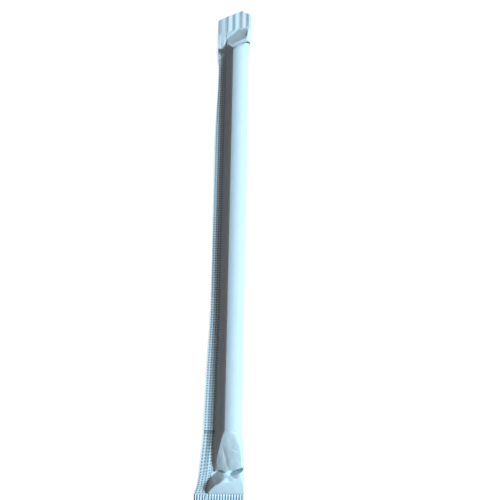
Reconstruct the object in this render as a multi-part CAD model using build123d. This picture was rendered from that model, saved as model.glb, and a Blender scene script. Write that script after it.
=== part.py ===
"""A drinking straw sealed in a paper sleeve, lying on its barrel with its side seam flat beside it.

The sleeve is one strip of paper folded round the straw. Its two long edges are pressed together in a
side seam, and both ends are pressed together in fluted seals. The pack is sealed, so it is one solid
with the sleeve's outer form.

The straw's axis runs along Y. A section across it has u from the seam (minus) to the fold (plus) and
w for height.
"""

import os
from math import radians, tan

from build123d import *

# Straw and paper
straw_diameter = 8.0
straw_length = 198.0
paper_wrap = 0.1  # paper and air between the straw and the sleeve's outer skin
seal_thickness = 0.4  # two plies pressed together, over the embossing

# Side seam: a flat strip beside the barrel, whose inner part a pleat of slack paper covers
seam_width = 6.0
web_width = 3.9  # slack paper between the barrel and the visible part of the seam
near_web = 0.9  # how much wider the slack paper is at the straw's near end
roof_shift = 1.15  # how far the upper ply's crown lies from the axis, towards the seam
roof_rise = 0.1  # how far the crown stands off the barrel
roof_drop = 0.7  # from the crown to the fold over the barrel's side on the seam's side
pleat_height = 0.45
pleat_tuck = 0.3  # how far the seam runs in under the pleat
cover = 1.5  # how much of the seam's width the pleat covers along the barrel
cover_near = 0.7
cover_far = 2.4

# Near end: slack paper that flattens towards a finely fluted seal
near_slack = 31.2
flat_width = 23.6
fold_overhang = 1.6  # how far the flattened sleeve reaches past the barrel on the folded side
bulge_height = 6.3  # crown of the slack paper where the diagonal crease crosses it
bulge_inset = 1.3  # how far that crown lies in from the folded side
bulge_fold = 1.9  # height of the fold on the seam's side where the crease begins
flap_height = 5.0  # crown of the slack paper between the crease and the seal
flap_inset = 2.6  # how far that crown lies in from the folded side
flap_fold = 2.4  # height of the fold on the seam's side between the crease and the seal
bulge_share = 0.58  # where the crown has the bulge's height, as a share of the near slack
flap_share = 0.8  # where the crown has the flap's height, as a share of the near slack
bulge_skew = 12.0  # degrees
near_seal_height = 0.45
crimp_length = 12.0
flute_pitch = 1.4
flute_height = 0.8

# Far end: a short hood that steps over the barrel and ends in a gathered seal
far_slack = 9.7
far_seal_height = 2.4
far_droop = 0.9  # how far the seam's edge hangs at the far seal
lip_height = 0.5
lip_overlap = 0.2
lip_run = 0.4  # how far along the barrel the lip takes to rise
lip_share = 0.12  # where the hood reaches over to the seam, as a share of the far slack
hood_fold = 6.8  # height of the hood's fold beside the seam
hood_inset = 1.6  # how far the hood's crown lies in from the folded side
gather_pitch = 3.9
gather_height = 0.8
gather_overhang = 1.2  # how far the gathered seal reaches past the barrel on the folded side
lip_skew = 21.0  # degrees
gather_skew = 19.0  # degrees
cut_skew = 26.0  # degrees
corner_skew = 28.0  # degrees, the clipped corner on the folded side

barrel_radius = straw_diameter / 2 + paper_wrap
root_offset = barrel_radius + web_width
roof_crown = (-roof_shift, 2 * barrel_radius + roof_rise)
roof_fold = (-barrel_radius - 0.05, roof_crown[1] - roof_drop)


def mix(start, end, share):
    return start + (end - start) * share


def mix_points(start, end, share):
    return (mix(start[0], end[0], share), mix(start[1], end[1], share))


def place(y, skew, point):
    """Point of the section at y, whose plane is turned about the vertical through the axis."""
    return Vector(point[0], y + point[0] * tan(radians(skew)), point[1])


def quarter(start, corner, end):
    """Control points of a quarter of an ellipse that fills the given corner."""
    return [start, mix_points(start, corner, 0.5523), mix_points(end, corner, 0.5523), end]


def section(y, skew, edge, root, foot, belly, right, crown, shoulder, dip, thick, pleat):
    """Closed outline of the sleeve across the axis.

    The seam runs from its edge to its root. The lower ply runs from the root to its foot and lies flat
    from there to the belly. The upper ply runs from the crown to a fold at the shoulder, falls from it,
    dips and ends in a pleat over the root.
    """

    def curve(points):
        return Bezier(*[place(y, skew, point) for point in points]).edge()

    edge_low = (edge[0], edge[1] - thick / 2)
    edge_high = (edge[0], edge[1] + thick / 2)
    root_low = (root[0], root[1] - thick / 2)
    root_high = (root[0] + pleat_tuck, root[1] + thick / 2)
    fold = (root[0], root_high[1] + pleat)

    gap = foot[0] - root_low[0]
    lower_ply = [
        root_low,
        (root_low[0] + 0.3 * gap, root_low[1]),
        (root_low[0] + 0.6 * gap, foot[1]),
        foot,
    ]
    gap = shoulder[0] - fold[0]
    climb = mix(fold[1], dip, 0.5)
    fall = (8 * dip - shoulder[1] - 3 * climb - fold[1]) / 3
    upper_ply = [
        shoulder,
        (shoulder[0] - 0.1 * gap, fall),
        (fold[0] + 0.4 * gap, climb),
        fold,
    ]
    roof = [
        crown,
        (mix(crown[0], shoulder[0], 0.4), crown[1]),
        (mix(crown[0], shoulder[0], 0.78), mix(shoulder[1], crown[1], 0.47)),
        shoulder,
    ]
    return Wire(
        [
            curve([edge_low, root_low]),
            curve(lower_ply),
            curve([foot, belly]),
            curve(quarter(belly, (right[0], belly[1]), right)),
            curve(quarter(right, (right[0], crown[1]), crown)),
            curve(roof),
            curve(upper_ply),
            curve([fold, root_high]),
            curve([root_high, edge_high]),
            curve([edge_high, edge_low]),
        ]
    )


def barrel_section(y, covered, skew=0, wider=0):
    """The sleeve where it lies round the straw."""
    root = (-root_offset - wider, seal_thickness / 2)
    return section(
        y,
        skew,
        edge=(root[0] - seam_width + covered, root[1]),
        root=root,
        foot=(-barrel_radius, 0),
        belly=(0, 0),
        right=(barrel_radius, barrel_radius),
        crown=roof_crown,
        shoulder=roof_fold,
        dip=seal_thickness + 0.8 * pleat_height,
        thick=seal_thickness,
        pleat=pleat_height,
    )


def near_section(share, crown_inset, crown_height, fold_height, skew):
    """The slack paper between the straw's near end (share 0) and the near seal (share 1)."""
    early = 1 - (1 - share) ** 2
    right_u = barrel_radius + fold_overhang * early
    flat_root = barrel_radius + fold_overhang - flat_width + seam_width
    flat_half = flute_height / 2 + 0.05
    thick = mix(seal_thickness, 2 * flat_half, share**3)
    root_u = mix(-root_offset - near_web, flat_root, share**1.5)
    root_w = mix(seal_thickness / 2, near_seal_height, share**3)
    edge_u = root_u - seam_width + mix(cover_near, 0, share)
    shoulder_u = mix(roof_fold[0], root_u + 1.6, 1 - (1 - share) ** 4)
    return section(
        -near_slack * share,
        skew,
        edge=(edge_u, root_w),
        root=(root_u, root_w),
        foot=(mix(-barrel_radius, root_u + 2.2, share), 0),
        belly=(mix(0, (right_u + root_u) / 2, early), 0),
        right=(right_u, mix(barrel_radius, near_seal_height, 1 - (1 - share) ** 1.3)),
        crown=(right_u - crown_inset, crown_height),
        shoulder=(shoulder_u, fold_height),
        dip=mix(seal_thickness + 0.8 * pleat_height, near_seal_height + flat_half + 0.08, share),
        thick=thick,
        pleat=mix(pleat_height, 0.06, share),
    )


def far_section(share, crown_height, skew):
    """The hood between its lip over the straw's far end (share 0) and the gathered seal (share 1)."""
    rise = share**1.3
    thick = mix(seal_thickness, flute_height + 0.1, share)
    root = (-root_offset, mix(seal_thickness / 2, far_seal_height, rise))
    edge = (
        root[0] - seam_width + mix(0.75 * cover_far, cover, share),
        mix(seal_thickness / 2, far_seal_height - far_droop, rise),
    )
    low_w = mix(0, far_seal_height - 0.8, share**1.5)
    over = 1 - (1 - share) ** 14
    return section(
        straw_length - lip_overlap + (far_slack + lip_overlap) * share,
        skew,
        edge=edge,
        root=root,
        foot=(mix(-barrel_radius, -root_offset + 1.6, share), low_w),
        belly=(mix(0, -1.2, share), low_w),
        right=(
            barrel_radius + mix(lip_height, gather_overhang, share),
            mix(barrel_radius, far_seal_height, share),
        ),
        crown=(mix(-roof_shift, barrel_radius + gather_overhang * share - hood_inset, over), crown_height),
        shoulder=(
            mix(roof_fold[0] - lip_height, -root_offset + 1, over),
            mix(mix(roof_fold[1] + lip_height, hood_fold, over), far_seal_height + 0.7, share),
        ),
        dip=mix(seal_thickness + 0.8 * pleat_height, far_seal_height + 0.6, rise),
        thick=thick,
        pleat=mix(pleat_height, 0.06, share),
    )


def flutes(start, end, pitch, swing):
    """Middle line of a pressed band with straight-sided flutes, as lists of points joined by lines."""
    steps = 2 * max(1, round((end[0] - start[0]) / pitch))
    crests = []
    for step in range(steps):
        point = mix_points(start, end, (step + 0.5) / steps)
        crests.append((point[0], point[1] + (swing if step % 2 else -swing)))
    points = [start, *crests, end]
    return list(zip(points, points[1:]))


def gathers(start, end, pitch, swing):
    """Middle line of a gathered band with round waves, as lists of points joined by arcs."""
    steps = 2 * max(1, round((end[0] - start[0]) / pitch))
    waves = []
    for step in range(steps):
        crest = mix_points(start, end, (step + 0.5) / steps)
        waves.append(
            (
                mix_points(start, end, step / steps),
                (crest[0], crest[1] + (-swing if step % 2 else swing)),
                mix_points(start, end, (step + 1) / steps),
            )
        )
    return waves


def band(middle, y_from, y_to):
    """A band pressed to an even thickness about its middle line, which runs on along the axis."""

    def run(points, lift):
        ends = [Vector(u, y_from, w + lift) for u, w in points]
        return (Line(*ends) if len(ends) == 2 else ThreePointArc(*ends)).edge()

    half = seal_thickness / 2
    lower = [run(points, -half) for points in middle]
    upper = [run(points, half) for points in middle]
    first = Line(lower[0] @ 0, upper[0] @ 0).edge()
    last = Line(lower[-1] @ 1, upper[-1] @ 1).edge()
    return Solid.extrude(Face(Wire([*lower, last, *upper, first])), Vector(0, y_to - y_from, 0))


def crease(across, valley, ridge, floor, rim):
    """A wedge that presses a slanting valley into the near end's upper ply.

    Each argument but the first gives, for a share of the valley's length, its bottom line and its outer
    rim along the near slack, and their heights. The side towards the barrel is nearly upright.
    """
    wedges = []
    for step in range(6):
        share = step / 5
        u = barrel_radius + fold_overhang - flat_width * (1 - mix(*across, share))
        low = Vector(u, -near_slack * valley(share), floor(share))
        edge = Vector(u, -near_slack * ridge(share), rim(share))
        steep = Vector(0, 0.35, 1) * (2 * straw_diameter)
        gentle = (edge - low) * (straw_diameter / (edge - low).Z)
        wedges.append(Polyline(low, low + steep, low + gentle, close=True).wire())
    return Solid.make_loft(wedges, True)


# The sleeve, section by section from the near seal to the far seal
near_crown = near_seal_height + flute_height / 2 + 0.25
near_fold = near_seal_height + flute_height / 2 + 0.15
near_inset = (flat_width - seam_width) / 2
lip = roof_crown[1] + lip_height
far_crown = far_seal_height + 1.1


def bulge_section(slump, skew):
    """The slack paper on its way from the straw's end (slump 0) to the diagonal crease (slump 1)."""
    share = bulge_share * mix(slump, slump**0.75, 1 - slump)
    inset = mix(barrel_radius + roof_shift, bulge_inset, 1 - (1 - slump) ** 5)
    crown, fold = mix_points((roof_crown[1], roof_fold[1]), (bulge_height, bulge_fold), slump)
    return near_section(share, inset, crown, fold, skew)


sleeve = Solid.make_loft(
    [
        near_section(1, near_inset, near_crown, near_fold, 0),
        near_section(
            mix(flap_share, 1, 0.5),
            mix(flap_inset, near_inset, 0.45),
            mix(flap_height, near_crown, 0.45),
            mix(flap_fold, near_fold, 0.45),
            0.2 * bulge_skew,
        ),
        near_section(flap_share, flap_inset, flap_height, flap_fold, 0.7 * bulge_skew),
        bulge_section(1, bulge_skew),
        bulge_section(0.75, 0.7 * bulge_skew),
        bulge_section(0.4, 0.3 * bulge_skew),
        bulge_section(0.1, 0),
        barrel_section(0, cover_near, wider=near_web),
        barrel_section(0.12 * straw_length, cover_near, wider=near_web / 2),
        barrel_section(0.3 * straw_length, cover),
        barrel_section(0.75 * straw_length, cover),
        barrel_section(straw_length - 2.5 * barrel_radius, cover_far),
        barrel_section(straw_length - lip_overlap - lip_run, 0.75 * cover_far, lip_skew),
        far_section(0, lip, lip_skew),
        far_section(lip_share, mix(lip, far_crown, 0.06), lip_skew),
        far_section(0.35, mix(lip, far_crown, 0.2), mix(lip_skew, gather_skew, 0.35)),
        far_section(0.7, mix(lip, far_crown, 0.62), mix(lip_skew, gather_skew, 0.7)),
        far_section(1, far_crown, gather_skew),
    ],
    True,
)

# Diagonal crease across the near end: a deep pocket beside the seam and a shallow one beside the fold
pocket = crease(
    (0.24, 0.7),
    valley=lambda share: 0.777 - 0.46 * share + 0.36 * share**2,
    ridge=lambda share: 0.94 - 0.27 * share,
    floor=lambda share: 0.5 + 2.7 * share**4,
    rim=lambda share: 1 + 6.2 * share - 2.5 * share**2,
)
dent = crease(
    (0.62, 1.02),
    valley=lambda share: 0.655 - 0.1 * share,
    ridge=lambda share: 0.68 - 0.1 * share + 0.2 * share * (1 - share),
    floor=lambda share: 3.2 - 0.8 * (share - 0.4) ** 2,
    rim=lambda share: 3.5 + 7 * share * (1 - share),
)

# Near seal: fine flutes across the whole flat width
flat_right = barrel_radius + fold_overhang
near_seal = band(
    flutes(
        (flat_right - flat_width, near_seal_height),
        (flat_right - 0.3, near_seal_height),
        flute_pitch,
        (flute_height - seal_thickness) / 2,
    ),
    -near_slack,
    -near_slack - crimp_length,
)

# Far seal: the seam runs on, and the paper beside it is gathered in deep waves and cut off askew
far_root = (-root_offset, far_seal_height)
far_edge = (far_root[0] - seam_width + cover, far_seal_height - far_droop)
far_right = barrel_radius + gather_overhang
far_foot = straw_length + far_slack
far_tip = far_foot + crimp_length
gather_swing = (gather_height - seal_thickness) / 2
far_band = band(
    [(far_edge, far_root)]
    + gathers(far_root, (far_right - 0.4, far_seal_height), gather_pitch, gather_swing),
    straw_length,
    far_tip,
)
side = 2 * far_right
reach = 2 * flat_width
far_outline = Polygon(
    (-reach, far_foot - reach * tan(radians(gather_skew))),
    (side, far_foot + side * tan(radians(gather_skew))),
    (side, far_tip - side * tan(radians(corner_skew))),
    (0, far_tip),
    (-reach, far_tip - reach * tan(radians(cut_skew))),
    align=None,
)
far_seal = far_band & extrude(far_outline, 4 * straw_diameter)

solid = Part() + [sleeve, near_seal, far_seal] - [pocket, dent]
box = solid.bounding_box()
solid = Pos(-box.center().X, -box.center().Y, -box.min.Z) * solid
os.makedirs("parts", exist_ok=True)
export_step(solid, "parts/wrapped_straw.step")
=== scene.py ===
"""Shows a drinking straw sealed in a slack paper sleeve, lying on a pale surface.

The sleeve is two skins of thin paper: the tube round the straw with its two crimped ends, and the
embossed seam that comes out from under a pleat beside it. Both are flat grids, each point of which is
moved to its folded place.
"""

from math import atan2, cos, exp, pi, radians, sin, tan
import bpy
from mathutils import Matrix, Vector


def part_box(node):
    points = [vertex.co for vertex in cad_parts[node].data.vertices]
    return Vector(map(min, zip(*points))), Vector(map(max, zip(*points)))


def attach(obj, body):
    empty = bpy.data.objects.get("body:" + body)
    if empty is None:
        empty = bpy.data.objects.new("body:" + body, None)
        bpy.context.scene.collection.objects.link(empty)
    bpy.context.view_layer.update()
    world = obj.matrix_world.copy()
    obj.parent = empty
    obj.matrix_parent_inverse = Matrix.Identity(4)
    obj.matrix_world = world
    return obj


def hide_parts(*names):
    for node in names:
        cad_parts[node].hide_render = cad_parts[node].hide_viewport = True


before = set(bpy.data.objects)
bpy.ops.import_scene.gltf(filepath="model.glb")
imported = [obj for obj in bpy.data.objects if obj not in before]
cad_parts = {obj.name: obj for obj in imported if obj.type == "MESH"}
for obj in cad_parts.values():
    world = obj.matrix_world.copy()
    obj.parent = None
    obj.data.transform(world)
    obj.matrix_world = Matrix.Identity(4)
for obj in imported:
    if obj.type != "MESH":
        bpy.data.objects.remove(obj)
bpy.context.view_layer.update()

from types import SimpleNamespace

import bmesh
import bpy
from mathutils import Matrix, Vector, noise

bl_info = {
    "name": "Wrapped drinking straw",
    "version": (1, 0, 0),
    "blender": (4, 5, 0),
    "location": "3D View > Sidebar > Straw",
    "description": "Builds a paper-wrapped drinking straw and its stage",
    "category": "Object",
}

NODE = "wrapped_straw"
BODY = "root"
FINISH = "sleeve_paper_finish"
MM = 1000.0
CAMERA_AIM = (6.5, 87.73, 4.1)  # millimetres, in the sleeve's own directions
FLOOR_SIZE = 4.0  # metres from the middle to each side
FLOOR_SHADE = (0.3, 0.3, 0.3, 1)  # to the light that the floor throws back
FLOOR_SEEN = (0.4, 0.4, 0.4, 1)  # to the camera, under the glow that makes it white
FLOOR_GLOW = 0.8
WHITE = (1, 1, 1, 1)
LAMP_DISTANCE = 0.6  # metres
MERGE_GAP = 5e-7  # metres between points that are one
SLIVER = 1e-6  # metres, edges too short to keep
SHARP_FOLD = 60  # degrees


def length(name, description, millimetres):
    return bpy.props.FloatProperty(
        name=name, description=description, default=millimetres / MM, unit="LENGTH", precision=5
    )


def angle(name, description, degrees_):
    return bpy.props.FloatProperty(
        name=name, description=description, default=radians(degrees_), subtype="ANGLE"
    )


def colour(name, description, rgb):
    return bpy.props.FloatVectorProperty(
        name=name, description=description, default=rgb, size=3, subtype="COLOR", min=0, max=1
    )


def number(name, description, value):
    return bpy.props.FloatProperty(name=name, description=description, default=value)


class SleeveSizes(bpy.types.PropertyGroup):
    """Sizes of the sleeve and of the folds in its paper."""

    barrel_radius: length("Barrel radius", "Radius of the paper round the straw", 4.1)
    straw_length: length("Straw length", "Length of the straw inside", 198)
    seam_width: length("Seam width", "Width of the embossed seam", 6.4)
    web_width: length("Web width", "Slack paper between the barrel and the seam", 3.9)
    pleat_height: length("Pleat height", "Height of the pleat that covers the seam's inner edge", 0.45)
    ply: length("Paper", "Thickness of two plies pressed together", 0.2)
    near_slack: length("Near slack", "Slack paper between the straw and the near seal", 31.2)
    flat_width: length("Flat width", "Width of the sleeve where it is pressed flat", 24.2)
    fold_overhang: length("Fold overhang", "Reach of the flattened sleeve past the barrel", 1.6)
    bulge_height: length("Bulge height", "Height of the slack paper at the diagonal crease", 6.3)
    bulge_inset: length("Bulge inset", "From the folded side to the slack paper's top at that crease", 1.3)
    bulge_fold: length("Bulge fold", "Height of the slack paper's fold by the seam at that crease", 1.9)
    flap_height: length("Flap height", "Height of the slack paper below the diagonal crease", 5)
    flap_inset: length("Flap inset", "From the folded side to the slack paper's top below it", 2.6)
    flap_fold: length("Flap fold", "Height of the slack paper's fold by the seam below it", 2.4)
    crimp_length: length("Crimp length", "Length of each end seal", 12)
    flute_height: length("Flute height", "Height of the near seal's flutes", 0.8)
    far_slack: length("Far slack", "Slack paper between the straw and the far seal", 12.5)
    far_seal_height: length("Far seal height", "Height of the gathered seal over the surface", 2.4)
    far_droop: length("Far droop", "How far the seam's edge hangs at the gathered seal", 0.9)
    lip_height: length("Lip height", "Height of the hood's lip over the barrel", 0.5)
    hood_inset: length("Hood inset", "How far in from the folded side the hood is highest", 1.6)
    gather_height: length("Gather height", "Height of the far seal's waves", 0.55)
    gather_overhang: length("Gather overhang", "Reach of the gathered seal past the barrel", 1.1)
    knurl_pitch: length("Knurl pitch", "Distance between the dots pressed along the seam", 1.25)
    knurl_depth: length("Knurl depth", "Depth of the dots pressed into the seam", 0.17)


class PaperLook(bpy.types.PropertyGroup):
    """Colour and surface of the paper."""

    paper: colour("Paper", "Colour of the paper", (0.76, 0.85, 0.91))
    # partly the paper's own colour where it is pressed, partly painted shade: it darkens the knurl dots
    # past their pressing, and in the flute valleys and the nick across the seam it is painted shade
    pressed: colour("Pressed paper", "Colour where the paper is pressed thin", (0.17, 0.26, 0.34))
    roughness: number("Roughness", "Roughness of the paper", 0.85)
    fibre: number("Fibre", "Strength of the paper's fibre relief", 0.22)


class StageLook(bpy.types.PropertyGroup):
    """Camera, lamps and floor."""

    tilt: angle("Camera tilt", "Angle of the camera from straight down", 8.28)
    roll: angle("Camera roll", "Turn of the camera about its own axis", 0.965)
    distance: length("Camera distance", "Distance from the camera to its aim", 260.4)
    lens: number("Lens", "Focal length on a 36 mm sensor", 36.97)
    key: number("Key strength", "Strength of the lamp on the right", 4.28)
    key_rise: angle("Key rise", "Height of the lamp on the right", 42.5)
    key_turn: angle("Key turn", "Turn of the lamp on the right, towards the far end", 8)
    key_softness: angle("Key softness", "Width of the lamp on the right, seen from the straw", 15)
    key_tint: colour("Key tint", "Colour of the lamp on the right", (0.62, 0.87, 1.0))
    ambient: number("Ambient", "Strength of the light from all round", 0.135)
    ambient_tint: colour("Ambient tint", "Colour of the light from all round", (1.0, 0.9, 0.84))


def mix(start, end, share):
    return start + (end - start) * share


def mix_points(start, end, share):
    return (mix(start[0], end[0], share), mix(start[1], end[1], share))


def ease(low, high, value):
    """Smooth step from 0 at low to 1 at high."""
    share = min(1.0, max(0.0, (value - low) / (high - low)))
    return share * share * (3 - 2 * share)


def through(stops, value):
    """Smooth curve through the given stops that never swings past them."""
    if value <= stops[0][0]:
        return stops[0][1]
    if value >= stops[-1][0]:
        return stops[-1][1]
    place = max(k for k in range(len(stops) - 1) if stops[k][0] <= value)

    def rise(k):
        return (stops[k + 1][1] - stops[k][1]) / (stops[k + 1][0] - stops[k][0])

    def slope(k):
        if k == 0 or k == len(stops) - 1:
            return 0.0
        before, after = rise(k - 1), rise(k)
        return 0.0 if before * after <= 0 else 2 * before * after / (before + after)

    run = stops[place + 1][0] - stops[place][0]
    share = (value - stops[place][0]) / run
    return (
        stops[place][1] * (1 + 2 * share) * (1 - share) ** 2
        + slope(place) * run * share * (1 - share) ** 2
        + stops[place + 1][1] * share**2 * (3 - 2 * share)
        - slope(place + 1) * run * share**2 * (1 - share)
    )


def soft_min(first, second, blend):
    """The lower of two heights, with the crease between them rounded."""
    share = min(1.0, max(0.0, 0.5 + (second - first) / (2 * blend)))
    return mix(second, first, share) - blend * share * (1 - share)


def bezier(points, share):
    rest = 1 - share
    weights = (rest**3, 3 * share * rest**2, 3 * share**2 * rest, share**3)
    return (
        sum(weight * point[0] for weight, point in zip(weights, points)),
        sum(weight * point[1] for weight, point in zip(weights, points)),
    )


def quarter(start, corner, end, share):
    """Point of a quarter of an ellipse that fills the given corner."""
    turn = share * pi / 2
    return (
        start[0] + (corner[0] - start[0]) * sin(turn) + (end[0] - corner[0]) * (1 - cos(turn)),
        start[1] + (corner[1] - start[1]) * sin(turn) + (end[1] - corner[1]) * (1 - cos(turn)),
    )


def from_line(point, path):
    """Distance of a point from a bent line, positive on its right, and the share along the line."""
    best = None
    for place, (start, end) in enumerate(zip(path, path[1:])):
        run = (end[0] - start[0], end[1] - start[1])
        size = (run[0] ** 2 + run[1] ** 2) ** 0.5
        offset = (point[0] - start[0], point[1] - start[1])
        share = (offset[0] * run[0] + offset[1] * run[1]) / size**2
        held = min(1.0, max(0.0, share))
        gap = ((offset[0] - held * run[0]) ** 2 + (offset[1] - held * run[1]) ** 2) ** 0.5
        side = 1 if offset[0] * run[1] - offset[1] * run[0] > 0 else -1
        if best is None or gap < abs(best[0]):
            best = (side * gap, (place + held) / (len(path) - 1))
    return best


def grain(x, y, z, scale):
    return noise.noise(Vector((x, y, z)) * scale)


class Sleeve:
    """Shape of the folded sleeve, in millimetres.

    The straw's axis runs along y from its near end at 0, u runs across from the seam (minus) to the fold
    (plus), and w is the height over the surface.
    """

    near_height = 0.45  # middle of the near seal
    seal = 0.4  # thickness of the side seam over its embossing
    far_reach = 0.4  # how far the far cut stands past the solid's
    lip_skew = 21  # turn of the hood's lip, in degrees like the three below
    foot_skew = 14  # of the line where the far seal begins
    cut_skew = 20  # of the far cut on the seam's side
    fold_cut_skew = 28  # and on the folded side

    def __init__(self, sizes):
        self.mm = SimpleNamespace(**{name: getattr(sizes, name) * MM for name in sizes.__annotations__})
        mm = self.mm
        low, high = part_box(NODE)
        self.flat_right = mm.barrel_radius + mm.fold_overhang
        self.near_cut = -mm.near_slack - mm.crimp_length
        self.far_foot = mm.straw_length + mm.far_slack
        self.far_tip = high.y * MM - low.y * MM + self.near_cut + self.far_reach
        self.far_right = mm.barrel_radius + mm.gather_overhang
        self.root_offset = mm.barrel_radius + mm.web_width
        self.shift = Vector((high.x * MM - self.flat_right, low.y * MM - self.near_cut, low.z * MM))
        self.crown = (-1.15, 2 * mm.barrel_radius + 0.1)
        self.shoulder = (-mm.barrel_radius - 0.05, 2 * mm.barrel_radius - 0.6)

    def to_frame(self, u, y, w):
        return (Vector((u, y, max(0.0, w))) + self.shift) / MM

    def framed(self, row):
        """A row's points in the shared frame, in metres."""
        return [(self.to_frame(u, y, w), press_and_shade) for u, y, w, press_and_shade in row]

    def skew(self, y):
        """Turn of a section about the vertical, in degrees."""
        mm = self.mm
        if y < 0:
            stops = [(0, 0), (0.09, 0), (0.26, 3.6), (0.435, 8.4), (0.58, 12)]
            stops += [(0.8, 8.4), (0.9, 2.4), (1, 0)]
            return through(stops, -y / mm.near_slack)
        end = mm.straw_length
        return through([(end - 12, 0), (end - 0.4, self.lip_skew), (self.far_foot, self.foot_skew)], y)

    def heave(self, y):
        """How far the seam's inner edge is drawn up beside the diagonal crease."""
        return through([(-31.2, 0), (-28, 0.3), (-24, 0.2), (-19, 0)], y)

    def slack(self, share):
        """Section of the slack paper between the straw (share 0) and the near seal (share 1)."""
        mm = self.mm
        radius = mm.barrel_radius
        early = 1 - (1 - share) ** 2
        slump = through([(0, 0), (0.099, 0.1), (0.268, 0.4), (0.443, 0.75), (0.58, 1)], share)
        bulge = mix(self.crown[1], mm.bulge_height, slump)
        low = mix(mm.flap_height, 1.1, 0.45)
        crown = through([(0.58, bulge), (0.8, mm.flap_height), (0.9, low), (1, 1.1)], share)
        bulge = mix(self.shoulder[1], mm.bulge_fold, slump)
        low = mix(mm.flap_fold, 1.0, 0.45)
        fold = through([(0.58, bulge), (0.8, mm.flap_fold), (0.9, low), (1, 1.0)], share)
        inset = mix(radius - self.crown[0], mm.bulge_inset, 1 - (1 - slump) ** 5)
        inset = through([(0.58, inset), (0.8, mm.flap_inset), (0.9, 5.4), (1, 8.8)], share)
        right_u = radius + mm.fold_overhang * early
        flat_root = self.flat_right - mm.flat_width + mm.seam_width
        root_u = mix(-self.root_offset - 0.9, flat_root, share**1.5)
        heave = self.heave(-mm.near_slack * share)
        root_w = mix(self.seal / 2, self.near_height, share**3) + heave
        shoulder_u = mix(self.shoulder[0], root_u + 1.6, 1 - (1 - share) ** 4)
        return SimpleNamespace(
            y=-mm.near_slack * share,
            edge=(root_u - mm.seam_width + mix(0.7, 0, share), root_w - heave),
            root=(root_u, root_w),
            foot=(mix(-radius, root_u + 2.2, share), 0),
            belly=(mix(0, (right_u + root_u) / 2, early), 0),
            right=(right_u, mix(radius, self.near_height, 1 - (1 - share) ** 1.3)),
            crown=(right_u - inset, crown),
            shoulder=(shoulder_u, fold),
            dip=mix(self.seal + 0.8 * mm.pleat_height, self.near_height + 0.5, share) + heave,
            pleat=mix(mm.pleat_height, 0.06, share),
        )

    def barrel(self, y):
        """Section of the paper round the straw."""
        mm = self.mm
        radius = mm.barrel_radius
        end = mm.straw_length
        stops = [(0, 0.7), (0.12 * end, 0.72), (0.3 * end, 1.5)]
        stops += [(0.75 * end, 1.5), (0.948 * end, 2.4), (end, 1.8)]
        cover = through(stops, y)
        wider = through([(0, 0.9), (0.12 * end, 0.45), (0.3 * end, 0)], y)
        root = (-self.root_offset - wider, self.seal / 2)
        return SimpleNamespace(
            y=y,
            edge=(root[0] - mm.seam_width + cover, root[1]),
            root=root,
            foot=(-radius, 0),
            belly=(0, 0),
            right=(radius + 0.5 * ease(end - 6, end - 0.8, y), radius),
            crown=self.crown,
            shoulder=self.shoulder,
            dip=self.seal + 0.8 * mm.pleat_height,
            pleat=mm.pleat_height,
        )

    def hood(self, share):
        """Section of the hood between its lip over the straw (share 0) and the far seal (share 1)."""
        mm = self.mm
        radius = mm.barrel_radius
        height = mm.far_seal_height
        rise = share**1.3
        lip = self.crown[1] + mm.lip_height
        top = height + 1.1
        stops = [(0, lip), (0.35, mix(lip, top, 0.2)), (0.7, mix(lip, top, 0.62)), (1, top)]
        crown = through(stops, share)
        root = (-self.root_offset, mix(self.seal / 2, height - 0.9, rise))
        edge_w = mix(self.seal / 2, height - 0.9 - mm.far_droop, rise)
        low = mix(0, height - 0.8, share**1.5)
        return SimpleNamespace(
            y=mm.straw_length - 0.2 + (mm.far_slack + 0.2) * share,
            edge=(root[0] - mm.seam_width + mix(1.8, 1.5, share), edge_w),
            root=root,
            foot=(mix(-radius, -self.root_offset + 1.6, share), low),
            belly=(mix(0, -1.2, share), low),
            right=(radius + mix(0.7, mm.gather_overhang, share), mix(radius, height, share)),
            crown=(radius + mix(0.3, mm.gather_overhang, share) - mm.hood_inset, crown),
            shoulder=(
                -self.root_offset + mix(0.8, 0.4, share),
                mix(6.5, height + 0.7, share**2),
            ),
            dip=mix(self.seal + 0.8 * mm.pleat_height, height - 0.3, rise),
            pleat=mix(mm.pleat_height, 0.06, share),
        )


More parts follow.
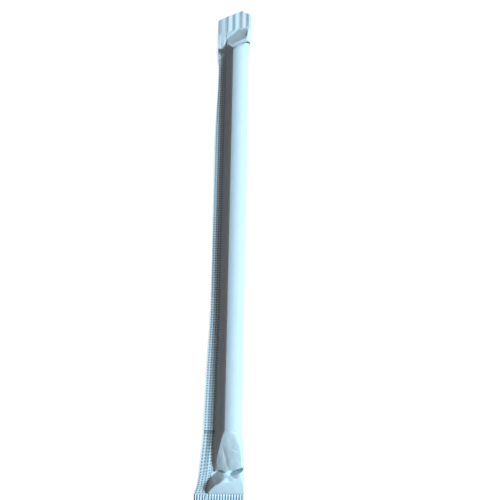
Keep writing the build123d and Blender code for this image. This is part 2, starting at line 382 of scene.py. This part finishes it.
class Tube(Sleeve):
    """The paper round the straw, with the tube's part of both end seals."""

    # grid columns of the hanging ply, of the belly and of the round under the fold
    lower = (20, 24, 36)
    # of the round over the fold, of the crown, of the slack web and of the pleat
    upper = (24, 28, 24, 4)
    # of the hidden wall under the pleat
    wall = 2
    # grid rows of each part, from the near seal to the far one
    near_rows, slack_rows, barrel_rows, hood_rows, far_rows = 24, 132, 330, 40, 36

    def __init__(self, sizes):
        super().__init__(sizes)
        self.half = sum(self.lower)
        self.columns = 2 * self.half + self.wall + 1
        self.rows = self.list_rows()

    def list_rows(self):
        """Each row of the grid as its kind and its place in that kind."""
        mm = self.mm
        rows = [("near_seal", 1 - k / self.near_rows) for k in range(self.near_rows)]
        rows += [("slack", 1 - k / self.slack_rows) for k in range(self.slack_rows)]
        end = mm.straw_length - 2.3
        rows += [("barrel", end * k / self.barrel_rows) for k in range(self.barrel_rows + 1)]
        rows += [("lip", k) for k in range(len(self.lip_path))]
        rows += [("hood", mix(0.07, 1, k / self.hood_rows)) for k in range(self.hood_rows)]
        rows += [("far_seal", k / self.far_rows) for k in range(self.far_rows + 1)]
        return rows

    # each row's place along the sleeve, its share from the barrel to the hood and the barrel's dip there
    lip_path = (
        (-2.0, 0, 0.0),
        (-1.5, 0, 0.15),
        (-1.0, 0, 0.5),
        (-0.5, 0, 0.9),
        (0.2, 0, 1.15),
        (0.9, 0, 1.2),
        (1.5, 0.03, 1.2),
        (1.75, 0.25, 0.7),
        (1.5, 0.6, 0.0),
        (0.8, 0.75, 0.0),
        (0.1, 0.82, 0.0),
        (-0.3, 0.88, 0.0),
        (-0.45, 0.98, 0.0),
        (-0.35, 1.06, 0.0),
        (-0.1, 1.08, 0.0),
        (0.25, 1.05, 0.0),
    )

    def outline(self, st):
        """Closed outline of the tube's section, as one point for each grid column."""
        half = self.seal / 2
        root_low = (st.root[0], st.root[1] - half)
        top = st.root[1] + half
        fold = (st.root[0], top + st.pleat)
        gap = st.foot[0] - root_low[0]
        hang = (root_low[0] + 0.3 * gap, root_low[1])
        lower_ply = [root_low, hang, (root_low[0] + 0.6 * gap, st.foot[1]), st.foot]
        gap = st.shoulder[0] - fold[0]
        climb = mix(fold[1], st.dip, 0.5)
        fall = (8 * st.dip - st.shoulder[1] - 3 * climb - fold[1]) / 3
        upper_ply = [st.shoulder, (st.shoulder[0] - 0.1 * gap, fall), (fold[0] + 0.4 * gap, climb), fold]
        points = [bezier(lower_ply, k / self.lower[0]) for k in range(self.lower[0])]
        points += [mix_points(st.foot, st.belly, k / self.lower[1]) for k in range(self.lower[1])]
        corner = (st.right[0], st.belly[1])
        points += [quarter(st.belly, corner, st.right, k / self.lower[2]) for k in range(self.lower[2])]
        corner = (st.right[0], st.crown[1])
        points += [quarter(st.right, corner, st.crown, k / self.upper[0]) for k in range(self.upper[0])]
        roof = [
            st.crown,
            (mix(st.crown[0], st.shoulder[0], 0.4), st.crown[1]),
            (mix(st.crown[0], st.shoulder[0], 0.78), mix(st.shoulder[1], st.crown[1], 0.47)),
            st.shoulder,
        ]
        points += [bezier(roof, k / self.upper[1]) for k in range(self.upper[1])]
        points += [bezier(upper_ply, k / self.upper[2]) for k in range(self.upper[2])]
        nose = min(0.12, 0.3 * st.pleat)
        points += [
            fold,
            (fold[0] - nose, fold[1] - nose),
            (fold[0] - nose, top + 0.55 * st.pleat),
            (fold[0] + 0.2, top + 0.2 * st.pleat),
            (fold[0] + 0.7, top),
        ]
        points += [(fold[0] + 0.7, st.root[1]), root_low]
        return points

    def across(self, column):
        """Share of a column across the pressed sleeve, from the fold to the seam, and its ply."""
        if column <= self.half:
            return 1 - column / self.half, -1
        if column <= 2 * self.half:
            return column / self.half - 1, 1
        return 1.0, 2 * self.half + 1 - column

    def near_press(self, column, depth):
        """Point of the near seal: two plies pressed to flutes."""
        mm = self.mm
        share, ply = self.across(column)
        u = mix(self.flat_right, self.flat_right - mm.flat_width + mm.seam_width, share)
        swing = (mm.flute_height - mm.ply) / 2
        wave = share * self.half / 6
        flute = swing * max(-1.0, min(1.0, 1.5 * (1 - 4 * abs(wave % 1 - 0.5))))
        return u, self.near_height + flute * depth + ply * self.press(share), flute

    def press(self, share):
        """How far each ply of a seal lies from the middle."""
        return self.mm.ply / 2 * min(1.0, 12 * share)

    def gather(self, u):
        """Height of the far seal's waves."""
        mm = self.mm
        turns = through([(-8.4, 0), (-7.2, 0.25), (-3.5, 1.25), (0.5, 2.25), (3.8, 3.25), (5.6, 3.7)], u)
        wave = sin(2 * pi * turns)
        return (mm.gather_height - mm.ply) / 2 * (wave + 0.25 * wave * abs(wave)) * ease(-8.4, -7.6, u)

    def far_press(self, column, depth):
        """Point of the far seal: two plies gathered in deep waves."""
        mm = self.mm
        share, ply = self.across(column)
        u = mix(self.far_right, -self.root_offset, share)
        middle = mm.far_seal_height + self.tilt(u) + self.gather(u) * depth
        return u, middle + ply * self.press(share)

    # the diagonal crease, seen from above and its height, and the ridge beside it
    valley = (
        (-13.1, -27),
        (-12, -23.5),
        (-9.4, -20.8),
        (-6.1, -19.6),
        (-3.45, -20.3),
        (-1.3, -18.9),
        (1.6, -18.05),
        (3.8, -17.3),
        (5.7, -17),
    )
    valley_floor = (
        (-13.1, 0.5),
        (-7.7, 0.6),
        (-5.5, 1.0),
        (-3.5, 2.8),
        (-0.5, 4.1),
        (3.2, 5.7),
        (4.4, 5.7),
        (5.7, 2.7),
    )
    ridge = ((-12.1, -29.4), (-9.7, -27.1), (-7.9, -25.7), (-5.5, -23.7), (-3.8, -22.3), (-2.4, -21.7))
    crest = ((0, 2.4), (0.2, 5.0), (0.4, 6.3), (0.6, 6.3), (0.8, 5.8), (1, 5.0))
    valley_wall = 0.3  # run over rise of the crease's far side
    ridge_right, ridge_left = 0.28, 1.4  # rise over run on the two sides of the ridge

    def pocket(self, u, y, w):
        """Height of the upper ply at the near end, folded in deep along a diagonal crease."""
        mm = self.mm
        valley = through(self.valley, u)
        bottom = through(self.valley_floor, u)
        bottom += self.heave(y) * ease(-4, -7, u)
        if y >= valley:
            return soft_min(w, bottom + (y - valley) / self.valley_wall, 0.2)
        side, share = from_line((u, y), self.ridge)
        crest = through(self.crest, share)
        steep = crest + (self.ridge_right if side > 0 else self.ridge_left) * side
        dent = bottom + 3 * max(0.0, -21.7 - 0.4 * u - y) + 6 * ease(-2.7, -3.5, u)
        rise = max(0.0, y + mm.near_slack)
        flap = 0.95 + rise * (0.96 - 0.032 * (u + 12))
        reach = max(0.0, u - 2.2) / (self.flat_right - 2.2)
        edge = 0.5 + 5.9 * max(0.0, 1 - reach**2) ** 0.5
        folded = soft_min(soft_min(steep, dent, 0.25), soft_min(flap, edge, 0.8), 0.4)
        least = 0.55 + self.heave(y) + 2.2 * ease(3.4, 5.0, u) * ease(-23, -21, y)
        return mix(w, max(least, folded), ease(-mm.near_slack, -mm.near_slack + 1.5, y))

    def creases(self, u, y, w):
        """Height of the upper ply at the near end with its smaller creases pressed in."""
        # crease down the bulge
        gap, share = from_line((u, y), ((-4.9, -5.5), (-4.6, -9), (-3.3, -13.8), (-1.9, -18.6)))
        w -= 0.35 * ease(0, 0.45, share) * exp(-abs(gap) / 1.3)
        # crease beside the folded edge
        gap, share = from_line((u, y), ((3.9, -17.2), (2.9, -19.4), (1.6, -21.9)))
        w -= 0.4 * exp(-((gap / 0.35) ** 2)) * (1 - share)
        # the straw's rim under the paper
        gap, share = from_line((u, y), ((-2.3, 1.3), (0.3, -0.2), (3.7, -1.8)))
        w -= 0.3 * exp(-((gap / 0.28) ** 2)) * ease(0, 0.2, share)
        # faint crease over the bulge
        gap = from_line((u, y), ((0.5, -8.4), (1.9, -9.2), (3.9, -8.2)))[0]
        w -= 0.12 * exp(-((gap / 0.35) ** 2))
        return w

    def row(self, kind, place):
        """Points of one row of the grid, in millimetres, with how far each is darkened towards the pressed
        colour, which in the near seal is painted shade in the flute valleys.
        """
        if kind == "near_seal":
            return self.near_row(place)
        if kind == "far_seal":
            return self.far_row(place)
        if kind == "lip":
            return self.lip_row(place)
        st = {"slack": self.slack, "barrel": self.barrel, "hood": self.hood}[kind](place)
        skew = tan(radians(self.skew(st.y)))
        made = []
        near = ease(0.8, 1, place) if kind == "slack" else 0.0
        far = ease(0.72, 1, place) if kind == "hood" else 0.0
        for column, (u, w) in enumerate(self.outline(st)):
            if near:
                u, w = mix_points((u, w), self.near_press(column, ease(0.93, 1.0, place))[:2], near)
            if far:
                u, w = mix_points((u, w), self.far_press(column, ease(0.88, 1.0, place)), far)
            y = st.y + u * skew
            if kind == "hood":
                y += self.corner(u) * (1 - place) ** 2
                if self.half + self.upper[0] < column < 2 * self.half - 3:
                    w = self.drape(u, y, w, place)
            if self.half < column < 2 * self.half - 3 and kind == "slack":
                w = self.creases(u, y, self.pocket(u, y, w))
            made.append((u, y, w, 0.0))
        return self.wrinkle(made, kind, place)

    def wrinkle(self, made, kind, place):
        """Adds the slight unevenness of handled paper."""
        loose = {"slack": 1.0, "barrel": 0.25, "hood": 0.8}.get(kind, 0.3)
        if kind == "slack":
            loose *= ease(0, 0.2, place) * ease(1.02, 0.85, place) + 0.15
        out = []
        for column, (u, y, w, pressed) in enumerate(made):
            if self.half < column < 2 * self.half:
                w += loose * (0.14 * grain(u, y * 0.6, w, 0.35) + 0.05 * grain(u, y * 0.7, w, 1.1))
                u += loose * 0.05 * grain(u, y * 0.5, w + 9, 0.5)
            out.append((u, y, w, pressed))
        return out

    def near_row(self, share):
        """One row of the near seal, from its foot (share 0) to its cut (share 1)."""
        mm = self.mm
        made = []
        thin = 1.0 - ease(0.93, 1.0, share)
        y = mix(-mm.near_slack, self.near_cut, share)
        for column in range(self.columns):
            u, w, flute = self.near_press(column, 1.0)
            middle = self.near_height + flute
            w = mix(middle, w, thin)
            bend = 0.12 * grain(u * 0.3, y * 0.3, 4.0, 0.4)
            # the last value paints shade into the flute valleys, darker the deeper they are
            made.append((u, y, w + bend * share, 2 * max(0.0, -flute) / mm.flute_height))
        return made

    def far_row(self, share):
        """One row of the far seal, from its foot (share 0) to its cut (share 1)."""
        mm = self.mm
        made = []
        thin = 1.0 - ease(0.95, 1.0, share)
        for column in range(self.columns):
            u, w = self.far_press(column, 1.0)
            middle = mm.far_seal_height + self.tilt(u) + self.gather(u)
            w = mix(middle, w, thin)
            foot = self.far_foot + u * tan(radians(self.foot_skew))
            slant = tan(radians(self.cut_skew)) if u < 0 else -tan(radians(self.fold_cut_skew))
            cut = self.far_tip + u * slant
            y = mix(foot, cut, share)
            swell = 0.22 * exp(-((share / 0.09) ** 2)) * max(0.0, self.gather(u))
            w += swell + 0.1 * grain(u, y * 0.6, 2.0, 0.5)
            made.append((u, y, w, 0.0))
        return made

    # the slope that the hood is drawn down to: its height at one place, and its rise across and fall along
    drape_u, drape_y, drape_height = 3, 199, 8.7
    drape_across, drape_along = 0.5, 0.4
    corner_place = -4.4  # where the hood's edge turns back towards the seam

    def drape(self, u, y, w, share):
        """Height of the hood, drawn down flat towards the seam."""
        mm = self.mm
        behind = y - mm.straw_length - u * tan(radians(self.lip_skew))
        near = 1 - ease(0, 5, behind)
        flat = self.drape_height + self.drape_across * (u - self.drape_u)
        flat -= self.drape_along * (y - self.drape_y)
        flat += 1 - ease(0, 6, behind)
        flat -= 0.6 * max(0.0, self.corner_place - u) * near
        least = mix(self.seal, mm.far_seal_height + self.tilt(u), share**1.3) + 0.2
        return mix(max(soft_min(w, flat, 0.3), least), w, ease(0.85, 1, share))

    def tilt(self, u):
        """How far the far seal leans down towards the seam."""
        return 0.13 * (u + 1)

    def corner(self, u):
        """How far the hood's edge runs back beside the seam."""
        return 1.2 * max(0.0, self.corner_place - u)

    def lip_row(self, place):
        """One row of the pleat where the hood folds over the barrel's end."""
        mm = self.mm
        back, lift, sag = self.lip_path[place]
        steady = mix(-2.0, 0.3, place / (len(self.lip_path) - 1))
        skew = tan(radians(self.lip_skew))
        round_ = self.outline(self.barrel(mm.straw_length - 0.4))
        over = self.outline(self.hood(0.0))
        made = []
        first = self.half - 10
        last = 2 * self.half - 3
        for column, (inner, outer) in enumerate(zip(round_, over)):
            open_ = ease(first, self.half + 8, column) * ease(last, last - 24, column)
            turn = atan2(inner[0], inner[1] - mm.barrel_radius)
            extra = 1 + 0.1 * exp(-(((turn + 0.75) / 0.55) ** 2))
            u, w = mix_points(inner, outer, lift * mix(1.0, extra, open_))
            top = ease(mm.barrel_radius, 1.6 * mm.barrel_radius, inner[1])
            w -= sag * open_ * top * mix(1, 0.3, ease(-1, 3, inner[0]))
            y = mm.straw_length - 0.1 + mix(steady, back, open_) + u * skew + lift * self.corner(u)
            made.append((u, y, w, 0.0))
        return made


class Seam(Sleeve):
    """The embossed seam beside the tube."""

    width_columns = 28  # grid columns across the upper ply
    lower_columns = 14  # and across the lower ply
    rows_per_dot = 6
    first_dot = 0.6  # from the seam's edge
    dot_spread = 1.12  # pitch of the dots across the seam over their pitch along it
    notch_lip = -1.1  # where the nick across the seam begins
    notch_foot = -1.3  # and where it is deepest
    notch_depth = 0.8
    notch_fade = 0.8  # how far it takes to rise again

    def __init__(self, sizes):
        super().__init__(sizes)
        self.columns = self.width_columns + self.lower_columns + 3
        pitch = self.mm.knurl_pitch / self.rows_per_dot
        self.count = round((self.far_tip - self.near_cut) / pitch)

    def station(self, y):
        """Section of the sleeve at a place along it."""
        mm = self.mm
        if y <= -mm.near_slack:
            return self.slack(1.0)
        if y <= 0:
            return self.slack(-y / mm.near_slack)
        if y <= mm.straw_length - 0.2:
            return self.barrel(y)
        return self.hood(min(1.0, (y - mm.straw_length + 0.2) / (mm.far_slack + 0.2)))

    def lift(self, y, v):
        """How far the seam stands off the surface, from its root (v 0) to its edge (v 1)."""
        stops = [(-24, 0), (-18, 0.5), (-5, 0.9), (-1.5, 0.75), (0.3, 0.45), (8, 0.5)]
        stops += [(186, 0.5), (196, 0.6), (202, 0.3), (207, 0)]
        arch = through(stops, y)
        stops = [(-26, 0), (-18, 0.4), (-4, 0.5), (-1.4, 0.3), (-1.0, 0.75), (1, 0.6), (10, 0.5)]
        stops += [(37, 0.45), (60, 0.3), (83, 0), (115, 0.45), (141, 0.5), (170, 0.05)]
        stops += [(182, 0.1), (191, 0.4), (198, 0.6), (203, 0.4), (208, 0)]
        edge = through(stops, y)
        return arch * sin(pi * min(1.0, v / 0.75)) ** 2 * (v < 0.75) + edge * v**1.5

    def row(self, place):
        """Points of one row of the grid, in millimetres, with how far each is darkened towards the pressed
        colour: the dots' pressing with their painted shade, and painted shade in the flute valleys and the
        nick.
        """
        mm = self.mm
        base = mix(self.near_cut, self.far_tip, place / self.count)
        st = self.station(base)
        near = ease(-mm.near_slack + 1.2, -mm.near_slack - 0.6, base)
        far = ease(self.far_foot - 1.5, self.far_foot + 1, base)
        thin = ease(0, 0.5, base - self.near_cut) * ease(0, 0.5, self.far_tip - base)
        inner = (st.root[0] + mix(0.6, 0.02, max(near, far)), st.root[1])
        made = []
        for column in range(self.columns):
            if column <= self.lower_columns:
                v, ply = 1 - column / self.lower_columns, -1
            elif column == self.lower_columns + 1:
                v, ply = 0.0, 0
            else:
                v, ply = (column - self.lower_columns - 2) / self.width_columns, 1
            u, w = mix_points(inner, st.edge, v)
            y = base
            if base < 0:
                y += u * tan(radians(self.skew(base)))
            else:
                foot = u * tan(radians(self.skew(min(base, self.far_foot))))
                cut = u * tan(radians(self.cut_skew))
                y += mix(foot, cut, ease(self.far_foot, self.far_tip, base))
            w = max(w, 0.22) + self.lift(y, v) * (1 - near) * (1 - far)
            reach = (1 - v) * mm.seam_width
            spread = self.dot_spread * mm.knurl_pitch
            across = 0.5 + 0.5 * cos(2 * pi * (reach - self.first_dot) / spread)
            dot = min(1.0, 1.25 * across * (0.5 + 0.5 * cos(2 * pi * base / mm.knurl_pitch)))
            calm = (1 - near) * (1 - 0.75 * ease(188, 198, y)) * ease(0, 0.04, v) * ease(1.0, 0.95, v)
            w -= mm.knurl_depth * dot * calm * (ply > 0)
            swing = (mm.flute_height - mm.ply) / 2
            flute = swing * max(-1.0, min(1.0, 1.5 * (1 - 4 * abs((v * 5) % 1 - 0.5))))
            w += (flute if ply > 0 else -swing) * near
            w += 0.1 * cos(2 * pi * (u + 10.9) / 3.8) * far * ease(0, 0.1, v)
            notch = exp(min(0.0, (y - self.notch_foot) / self.notch_fade))
            notch *= ease(self.notch_lip, self.notch_foot, y) * ease(0, 0.15, v)
            w -= self.notch_depth * notch
            w += 0.06 * grain(u, y, 3.0, 0.3)
            half = mm.ply / 2 * thin * min(1.0, 10 * (1 - v))
            # darkening: the knurl dots are pressed paper darkened further as painted shade, and the flute
            # valleys and the nick across the seam are painted shade
            pressed = dot * calm + 2 * max(0.0, -flute) / mm.flute_height * near + notch
            made.append((u, y, max(w, half + 0.02) + ply * half, min(1.0, pressed)))
        return made


class Socket:
    """A shader value that can be used in sums."""

    def __init__(self, look, socket):
        self.look = look
        self.socket = socket

    def _sum(self, operation, first, second):
        return self.look.node("ShaderNodeMath", {"operation": operation}, {0: first, 1: second})

    def __add__(self, other):
        return self._sum("ADD", self, other)

    def __radd__(self, other):
        return self._sum("ADD", other, self)

    def __sub__(self, other):
        return self._sum("SUBTRACT", self, other)

    def __rsub__(self, other):
        return self._sum("SUBTRACT", other, self)

    def __mul__(self, other):
        return self._sum("MULTIPLY", self, other)

    def __rmul__(self, other):
        return self._sum("MULTIPLY", other, self)


class Look:
    """A material or a world under construction."""

    def __init__(self, owner):
        owner.use_nodes = True
        self.tree = owner.node_tree
        self.tree.nodes.clear()

    def node(self, kind, settings=None, inputs=None, output=0):
        made = self.tree.nodes.new(kind)
        for name, value in (settings or {}).items():
            setattr(made, name, value)
        for name, value in (inputs or {}).items():
            if isinstance(value, Socket):
                self.tree.links.new(value.socket, made.inputs[name])
            else:
                made.inputs[name].default_value = value
        return Socket(self, made.outputs[output]) if made.outputs else None

    def noise(self, place, scale, detail, roughness):
        values = {"Vector": place, "Scale": scale, "Detail": detail, "Roughness": roughness}
        return self.node("ShaderNodeTexNoise", {}, values)

    def mixed(self, share, first, second):
        """One colour turned into another."""
        values = {"Factor": share, "A": first, "B": second}
        return self.node("ShaderNodeMix", {"data_type": "RGBA"}, values, output=2)

    def seen_plainly(self):
        """1 for what the camera sees, straight or by a gloss or through glass, and 0 for stray light."""
        seen = self.node("ShaderNodeLightPath", output="Is Camera Ray")
        gloss = self.node("ShaderNodeLightPath", output="Is Glossy Ray")
        clear = self.node("ShaderNodeLightPath", output="Is Transmission Ray")
        settings = {"operation": "ADD", "use_clamp": True}
        return self.node("ShaderNodeMath", settings, {0: seen, 1: gloss + clear})


def paper_material(look_values):
    """Thin uncoated paper: faint clouds, fine fibres and darker pressed marks, whose dark colour is partly
    pressed paper and partly painted shade in the dots, the flute valleys and the nick across the seam.
    """
    material = bpy.data.materials.new(FINISH)
    look = Look(material)
    place = look.node("ShaderNodeTexCoord", output="Object")
    cloud = look.noise(place, 230.0, 3.0, 0.6)
    along = look.node("ShaderNodeMapping", {}, {"Vector": place, "Scale": (2600.0, 700.0, 2600.0)})
    fibre = look.noise(along, 1.0, 4.0, 0.65)
    turned = look.node(
        "ShaderNodeMapping",
        {},
        {"Vector": place, "Rotation": (0.0, 0.0, 1.1), "Scale": (900.0, 2900.0, 2900.0)},
    )
    cross = look.noise(turned, 1.0, 3.0, 0.6)
    # how far the paper turns to the pressed colour: the dots' pressing with their painted shade, and
    # painted shade in the flute valleys and the nick
    press_and_shade = look.node("ShaderNodeAttribute", {"attribute_name": "pressed"}, output="Fac")
    weave = fibre * 0.6 + cross * 0.4
    plain = Vector(look_values.paper)
    cloudy = (cloud * 0.5 + weave * 0.5) * 0.9 - 0.2
    shade = look.mixed(cloudy, (*plain, 1), (*(plain * 0.86), 1))
    tint = look.mixed(press_and_shade * 0.95, shade, (*look_values.pressed, 1))
    relief = look.node(
        "ShaderNodeBump",
        {},
        {"Strength": look_values.fibre, "Distance": 0.00006, "Height": weave},
    )
    surface = look.node(
        "ShaderNodeBsdfPrincipled",
        {},
        {
            "Base Color": tint,
            "Roughness": weave * 0.12 + (look_values.roughness - 0.06),
            "Specular IOR Level": 0.2,
            "Normal": relief,
        },
    )
    look.node("ShaderNodeOutputMaterial", {}, {"Surface": surface})
    return material


def make_piece(name, columns, rows, look_values):
    """Moves each point of a flat grid to its folded place and joins the edges that meet."""
    bm = bmesh.new()
    bmesh.ops.create_grid(bm, x_segments=columns - 1, y_segments=len(rows) - 1, size=1)
    # how far each point is darkened towards the pressed colour: partly pressing, partly painted shade in
    # the dots, flute valleys and nick
    pressed = bm.verts.layers.float.new("pressed")
    for vert in bm.verts:
        column = round((vert.co.x + 1) / 2 * (columns - 1))
        row = round((vert.co.y + 1) / 2 * (len(rows) - 1))
        place, press_and_shade = rows[row][column]
        vert.co = place
        vert[pressed] = press_and_shade
    bmesh.ops.remove_doubles(bm, verts=bm.verts[:], dist=MERGE_GAP)
    bmesh.ops.dissolve_degenerate(bm, edges=bm.edges[:], dist=SLIVER)
    rims = [edge for edge in bm.edges if edge.is_boundary]
    if rims:
        bmesh.ops.holes_fill(bm, edges=rims, sides=len(rims))
    bmesh.ops.recalc_face_normals(bm, faces=bm.faces[:])
    for face in bm.faces:
        face.smooth = True
    mesh = bpy.data.meshes.new(name)
    bm.to_mesh(mesh)
    bm.free()
    mesh.set_sharp_from_angle(angle=radians(SHARP_FOLD))
    mesh.materials.append(bpy.data.materials.get(FINISH) or paper_material(look_values))
    piece = bpy.data.objects.new(name, mesh)
    bpy.context.scene.collection.objects.link(piece)
    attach(piece, BODY)
    return piece


class STRAW_OT_tube(bpy.types.Operator):
    """Folds the paper tube round the straw and replaces the plain solid"""

    bl_idname = "straw.tube"
    bl_label = "Paper tube"

    def execute(self, context):
        scene = context.scene
        shape = Tube(scene.straw_sizes)
        rows = [shape.framed(shape.row(kind, place)) for kind, place in shape.rows]
        piece = make_piece("paper_tube", shape.columns, rows, scene.straw_paper)
        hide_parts(NODE)
        return {"FINISHED"}


class STRAW_OT_seam(bpy.types.Operator):
    """Presses the embossed seam beside the tube"""

    bl_idname = "straw.seam"
    bl_label = "Embossed seam"

    def execute(self, context):
        scene = context.scene
        shape = Seam(scene.straw_sizes)
        rows = [shape.framed(shape.row(place)) for place in range(shape.count + 1)]
        make_piece("embossed_seam", shape.columns, rows, scene.straw_paper)
        return {"FINISHED"}


class STRAW_OT_stage(bpy.types.Operator):
    """Sets up the floor, the light and the camera"""

    bl_idname = "straw.stage"
    bl_label = "Stage"

    def execute(self, context):
        scene = context.scene
        stage = scene.straw_stage
        scene.view_settings.view_transform = "Standard"
        self.make_floor()
        self.make_world(scene, stage)
        self.make_key(scene, stage)
        self.make_camera(scene, stage)
        return {"FINISHED"}

    def make_floor(self):
        bm = bmesh.new()
        bmesh.ops.create_grid(bm, x_segments=1, y_segments=1, size=FLOOR_SIZE)
        mesh = bpy.data.meshes.new("floor")
        bm.to_mesh(mesh)
        bm.free()
        material = bpy.data.materials.new("floor_finish")
        look = Look(material)
        base = look.node("ShaderNodeBsdfDiffuse", {}, {"Color": FLOOR_SHADE})
        lit = look.node("ShaderNodeBsdfDiffuse", {}, {"Color": FLOOR_SEEN})
        glow = look.node("ShaderNodeEmission", {}, {"Color": WHITE, "Strength": FLOOR_GLOW})
        white = look.node("ShaderNodeAddShader", {}, {0: lit, 1: glow})
        shown = look.node("ShaderNodeMixShader", {}, {0: look.seen_plainly(), 1: base, 2: white})
        look.node("ShaderNodeOutputMaterial", {}, {"Surface": shown})
        mesh.materials.append(material)
        floor = bpy.data.objects.new("floor", mesh)
        bpy.context.scene.collection.objects.link(floor)

    def make_world(self, scene, stage):
        world = bpy.data.worlds.new("studio")
        look = Look(world)
        tint = (*stage.ambient_tint, 1)
        soft = look.node("ShaderNodeBackground", {}, {"Color": tint, "Strength": stage.ambient})
        white = look.node("ShaderNodeBackground", {}, {"Color": WHITE, "Strength": 1.0})
        shown = look.node("ShaderNodeMixShader", {}, {0: look.seen_plainly(), 1: soft, 2: white})
        look.node("ShaderNodeOutputWorld", {}, {"Surface": shown})
        scene.world = world

    def make_key(self, scene, stage):
        lamp = bpy.data.lights.new("key_lamp", "SUN")
        lamp.energy = stage.key
        lamp.color = stage.key_tint
        lamp.angle = stage.key_softness
        holder = bpy.data.objects.new("key_lamp", lamp)
        rise, turn = stage.key_rise, stage.key_turn
        towards = Vector((cos(rise) * cos(turn), cos(rise) * sin(turn), sin(rise)))
        holder.rotation_euler = towards.to_track_quat("Z", "Y").to_euler()
        holder.location = towards * LAMP_DISTANCE
        scene.collection.objects.link(holder)

    def make_camera(self, scene, stage):
        shape = Sleeve(scene.straw_sizes)
        lens = bpy.data.cameras.new("camera")
        lens.sensor_width = 36
        lens.lens = stage.lens
        lens.clip_start = 0.005
        holder = bpy.data.objects.new("camera", lens)
        aim = shape.to_frame(*CAMERA_AIM)
        back = Vector((0, -sin(stage.tilt), cos(stage.tilt)))
        up = Vector((0, cos(stage.tilt), sin(stage.tilt)))
        right = Vector((1, 0, 0))
        turned = (
            right * cos(stage.roll) + up * sin(stage.roll),
            up * cos(stage.roll) - right * sin(stage.roll),
            back,
        )
        place = Matrix.Translation(aim + back * stage.distance)
        holder.matrix_world = place @ Matrix(turned).transposed().to_4x4()
        scene.collection.objects.link(holder)
        scene.camera = holder


class STRAW_PT_panel(bpy.types.Panel):
    """Lists the straw's pieces and sizes"""

    bl_idname = "STRAW_PT_panel"
    bl_label = "Wrapped straw"
    bl_space_type = "VIEW_3D"
    bl_region_type = "UI"
    bl_category = "Straw"

    def draw(self, context):
        for operator in (STRAW_OT_tube, STRAW_OT_seam, STRAW_OT_stage):
            self.layout.operator(operator.bl_idname)
        for group in (context.scene.straw_sizes, context.scene.straw_paper, context.scene.straw_stage):
            for name in group.__annotations__:
                self.layout.prop(group, name)


CLASSES = (
    SleeveSizes,
    PaperLook,
    StageLook,
    STRAW_OT_tube,
    STRAW_OT_seam,
    STRAW_OT_stage,
    STRAW_PT_panel,
)


def register():
    for each in CLASSES:
        bpy.utils.register_class(each)
    bpy.types.Scene.straw_sizes = bpy.props.PointerProperty(type=SleeveSizes)
    bpy.types.Scene.straw_paper = bpy.props.PointerProperty(type=PaperLook)
    bpy.types.Scene.straw_stage = bpy.props.PointerProperty(type=StageLook)


def unregister():
    del bpy.types.Scene.straw_sizes
    del bpy.types.Scene.straw_paper
    del bpy.types.Scene.straw_stage
    for each in reversed(CLASSES):
        bpy.utils.unregister_class(each)


def main():
    register()
    bpy.ops.straw.tube()
    bpy.ops.straw.seam()
    bpy.ops.straw.stage()


if __name__ == "__main__":
    main()
